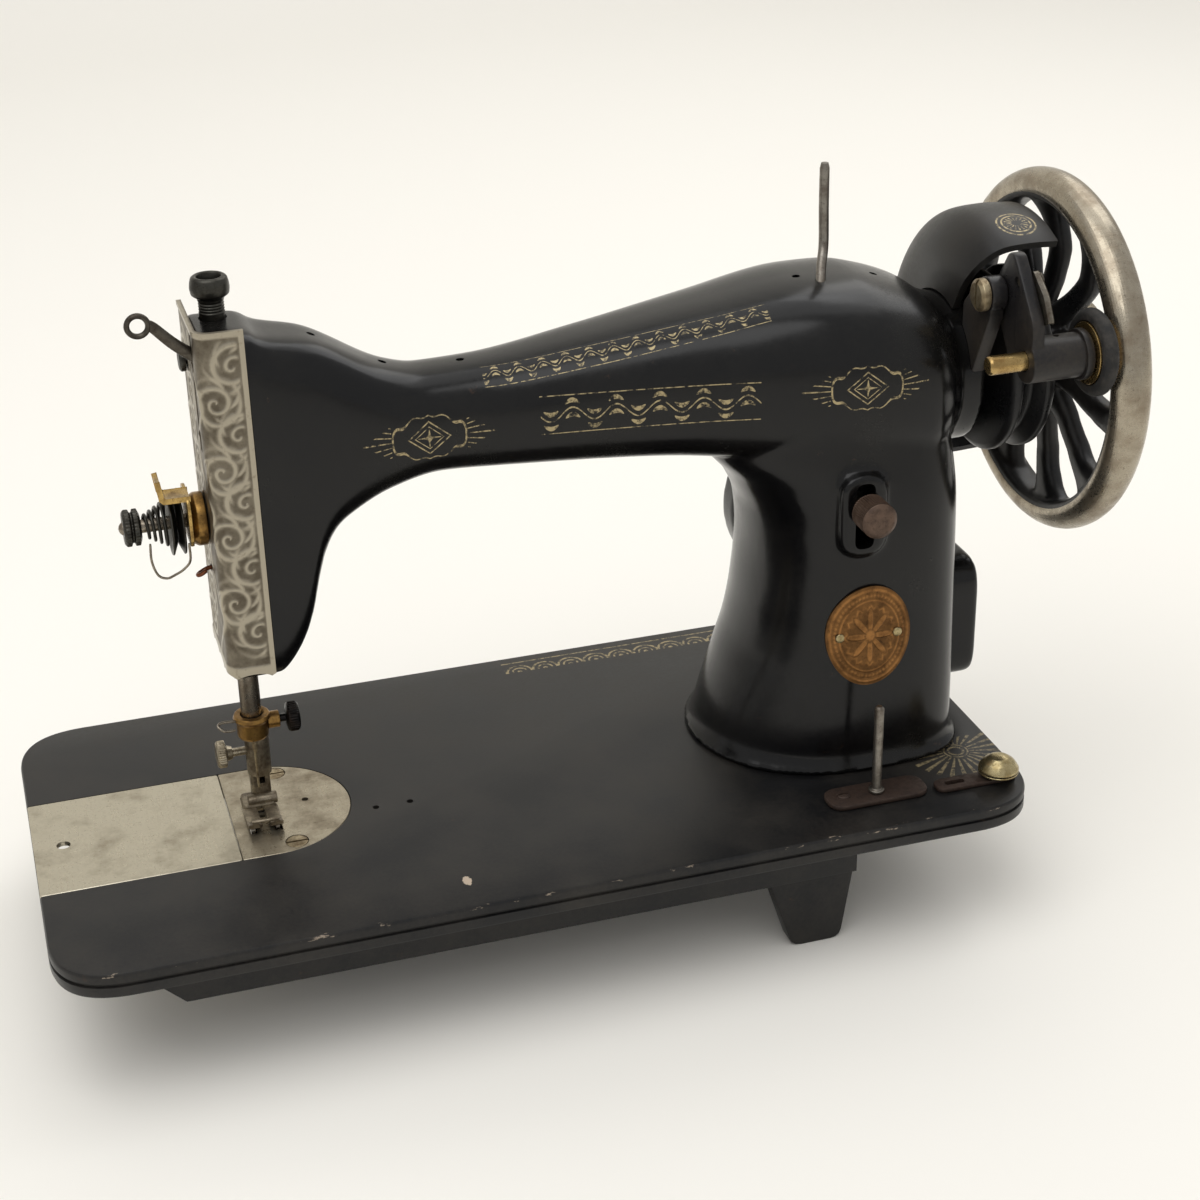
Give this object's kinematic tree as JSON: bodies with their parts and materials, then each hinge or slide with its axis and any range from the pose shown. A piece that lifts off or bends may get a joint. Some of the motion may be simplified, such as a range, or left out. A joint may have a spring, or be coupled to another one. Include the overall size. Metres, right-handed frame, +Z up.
{
  "type": "treadle sewing machine head",
  "caption": "Cast-iron household sewing machine head: bed, arm, needle and presser bars, tension, spoked handwheel, belt guard and bobbin winder.",
  "frame": {"origin": "centre of the bounding box at the level of the feet", "axes": "+X from the needle end to the handwheel, +Y from the operator's side to the back, +Z up"},
  "size_m": [0.424, 0.1778, 0.283],
  "materials": {
    "japan": "worn black japan enamel, satin",
    "nickel": "tarnished nickel plate",
    "steel": "dull machined steel",
    "dark_steel": "blackened steel",
    "brass": "aged brass",
    "rusty_steel": "rust-stained steel",
    "rubber": "hardened rubber"
  },
  "bodies": {
    "root": {"arm": "japan", "bed": "japan", "belt_guard": "japan", "winder_bracket": "japan", "needle_plate": "nickel", "needle_plate_screw_front": "nickel", "needle_plate_screw_rear": "nickel", "face_plate": "nickel", "bobbin_case": "nickel", "presser_spring": "steel", "tension_stud": "steel", "check_spring": "steel", "winder_screw": "steel", "spool_pin": "steel", "lower_spool_pin": "steel", "rear_cover_screw": "steel", "face_plate_screw": "dark_steel", "tension_disc_outer": "dark_steel", "tension_disc_inner": "dark_steel", "tension_spring": "dark_steel", "thread_hook": "dark_steel", "shuttle_race": "dark_steel", "tension_base": "brass", "tension_guide": "brass", "bobbin_disc_lower": "brass", "bobbin_disc_upper": "brass", "badge": "brass", "bobbin_base_plate": "rusty_steel", "bobbin_bracket": "rusty_steel"},
    "slide_plate": {"slide_plate": "nickel"},
    "needle_bar": {"needle_bar": "steel", "needle_clamp": "brass", "needle": "nickel", "needle_bar_link": "steel"},
    "needle_clamp_screw": {"needle_clamp_screw": "dark_steel"},
    "take_up_lever": {"take_up_lever": "steel"},
    "presser_bar": {"presser_bar": "steel", "presser_foot": "nickel"},
    "presser_foot_screw": {"presser_foot_screw": "nickel"},
    "presser_lifter": {"presser_lifter": "steel"},
    "pressure_screw": {"pressure_screw": "dark_steel"},
    "tension_nut": {"tension_nut": "dark_steel"},
    "arm_shaft": {"arm_shaft": "steel", "stop_motion_washer": "steel"},
    "handwheel": {"handwheel": "japan"},
    "stop_motion_knob": {"stop_motion_knob": "nickel"},
    "winder_frame": {"winder_frame": "japan"},
    "winder_spindle": {"winder_spindle": "brass", "winder_tyre": "rubber"},
    "winder_latch": {"winder_latch": "steel"},
    "stitch_lever": {"stitch_lever": "steel"},
    "stitch_length_knob": {"stitch_length_knob": "rusty_steel"},
    "hook_shaft": {"hook_shaft": "steel", "shuttle_hook": "steel"},
    "connecting_rod": {"connecting_rod": "steel"},
    "bobbin": {"bobbin": "steel"},
    "feed_rock_shaft": {"feed_rock_shaft": "steel"},
    "feed_bar": {"feed_bar": "steel"},
    "feed_dog": {"feed_dog": "steel"},
    "rear_cover": {"rear_cover": "nickel"}
  },
  "joints": [
    {"name": "slide_plate_slide", "type": "slide", "parent": "root", "child": "slide_plate", "axis": [-1, 0, 0], "range_m": [0, 0.06]},
    {"name": "needle_bar_stroke", "type": "slide", "parent": "root", "child": "needle_bar", "axis": [0, 0, 1], "range_m": [-0.026, 0]},
    {"name": "needle_clamp_screw_turn", "type": "hinge", "parent": "needle_bar", "child": "needle_clamp_screw", "pos_m": [-0.1275, -0.004, 0.0965], "axis": [1, 0, 0], "range_deg": [-180, 180]},
    {"name": "take_up_swing", "type": "hinge", "parent": "root", "child": "take_up_lever", "pos_m": [-0.112, -0.01, 0.229], "axis": [0, 1, 0], "range_deg": [-56, 0]},
    {"name": "presser_lifter_turn", "type": "hinge", "parent": "root", "child": "presser_lifter", "pos_m": [-0.122, 0, 0.152], "axis": [0, 1, 0], "range_deg": [-85, 0]},
    {"name": "presser_bar_lift", "type": "slide", "parent": "root", "child": "presser_bar", "axis": [0, 0, 1], "range_m": [0, 0.0065], "deforming": ["presser_spring"]},
    {"name": "presser_foot_screw_turn", "type": "hinge", "parent": "presser_bar", "child": "presser_foot_screw", "pos_m": [-0.137, 0.006, 0.0796], "axis": [1, 0, 0], "range_deg": [-180, 180]},
    {"name": "pressure_screw_turn", "type": "hinge", "parent": "root", "child": "pressure_screw", "pos_m": [-0.1255, 0.006, 0.256], "axis": [0, 0, 1], "range_deg": [-360, 360]},
    {"name": "tension_nut_turn", "type": "hinge", "parent": "root", "child": "tension_nut", "pos_m": [-0.162, 0, 0.179], "axis": [1, 0, 0], "range_deg": [-360, 360]},
    {"name": "arm_shaft_turn", "type": "hinge", "parent": "root", "child": "arm_shaft", "pos_m": [0.192, 0, 0.2], "axis": [1, 0, 0], "continuous": true},
    {"name": "handwheel_slip", "type": "hinge", "parent": "arm_shaft", "child": "handwheel", "pos_m": [0.192, 0, 0.2], "axis": [1, 0, 0], "continuous": true},
    {"name": "stop_motion_knob_turn", "type": "hinge", "parent": "arm_shaft", "child": "stop_motion_knob", "pos_m": [0.206, 0, 0.2], "axis": [1, 0, 0], "range_deg": [0, 120]},
    {"name": "winder_frame_tilt", "type": "hinge", "parent": "root", "child": "winder_frame", "pos_m": [0.155, -0.036, 0.239], "axis": [1, 0, 0], "range_deg": [-12, 0]},
    {"name": "winder_spindle_spin", "type": "hinge", "parent": "winder_frame", "child": "winder_spindle", "pos_m": [0.168, -0.056, 0.2195], "axis": [1, 0, 0], "continuous": true},
    {"name": "winder_latch_turn", "type": "hinge", "parent": "winder_frame", "child": "winder_latch", "pos_m": [0.159, -0.047, 0.246], "axis": [1, 0, 0], "range_deg": [-10, 10]},
    {"name": "stitch_lever_slide", "type": "slide", "parent": "root", "child": "stitch_lever", "axis": [0, 0, 1], "range_m": [-0.0125, 0.0055]},
    {"name": "stitch_knob_turn", "type": "hinge", "parent": "stitch_lever", "child": "stitch_length_knob", "pos_m": [0.097, -0.055, 0.1665], "axis": [0, 1, 0], "range_deg": [-180, 180]},
    {"name": "hook_shaft_rock", "type": "hinge", "parent": "root", "child": "hook_shaft", "pos_m": [-0.012, 0, 0.023], "axis": [1, 0, 0], "range_deg": [0, 50]},
    {"name": "connecting_rod_swing", "type": "hinge", "parent": "hook_shaft", "child": "connecting_rod", "pos_m": [0.088, -0.016, 0.023], "axis": [1, 0, 0], "range_deg": [-50, 0]},
    {"name": "bobbin_spin", "type": "hinge", "parent": "root", "child": "bobbin", "pos_m": [-0.132, 0, 0.023], "axis": [1, 0, 0], "continuous": true},
    {"name": "feed_rock", "type": "hinge", "parent": "root", "child": "feed_rock_shaft", "pos_m": [-0.012, 0.048, 0.026], "axis": [1, 0, 0], "range_deg": [-6, 6]},
    {"name": "feed_bar_level", "type": "hinge", "parent": "feed_rock_shaft", "child": "feed_bar", "pos_m": [-0.112, 0.048, 0.042], "axis": [1, 0, 0], "range_deg": [-6, 6]},
    {"name": "feed_dog_rise", "type": "slide", "parent": "feed_bar", "child": "feed_dog", "axis": [0, 0, 1], "range_m": [-0.0022, 0]},
    {"name": "rear_cover_swing", "type": "hinge", "parent": "root", "child": "rear_cover", "pos_m": [0.097, 0.047, 0.156], "axis": [0, 1, 0], "range_deg": [0, 100]}
  ],
  "couplings": [
    {"joint": "take_up_swing", "follows": "needle_bar_stroke", "rad_per_m": 37.588},
    {"joint": "presser_lifter_turn", "follows": "presser_bar_lift", "rad_per_m": -228.21},
    {"joint": "connecting_rod_swing", "follows": "hook_shaft_rock", "ratio": -1},
    {"joint": "feed_bar_level", "follows": "feed_rock", "ratio": -1}
  ]
}
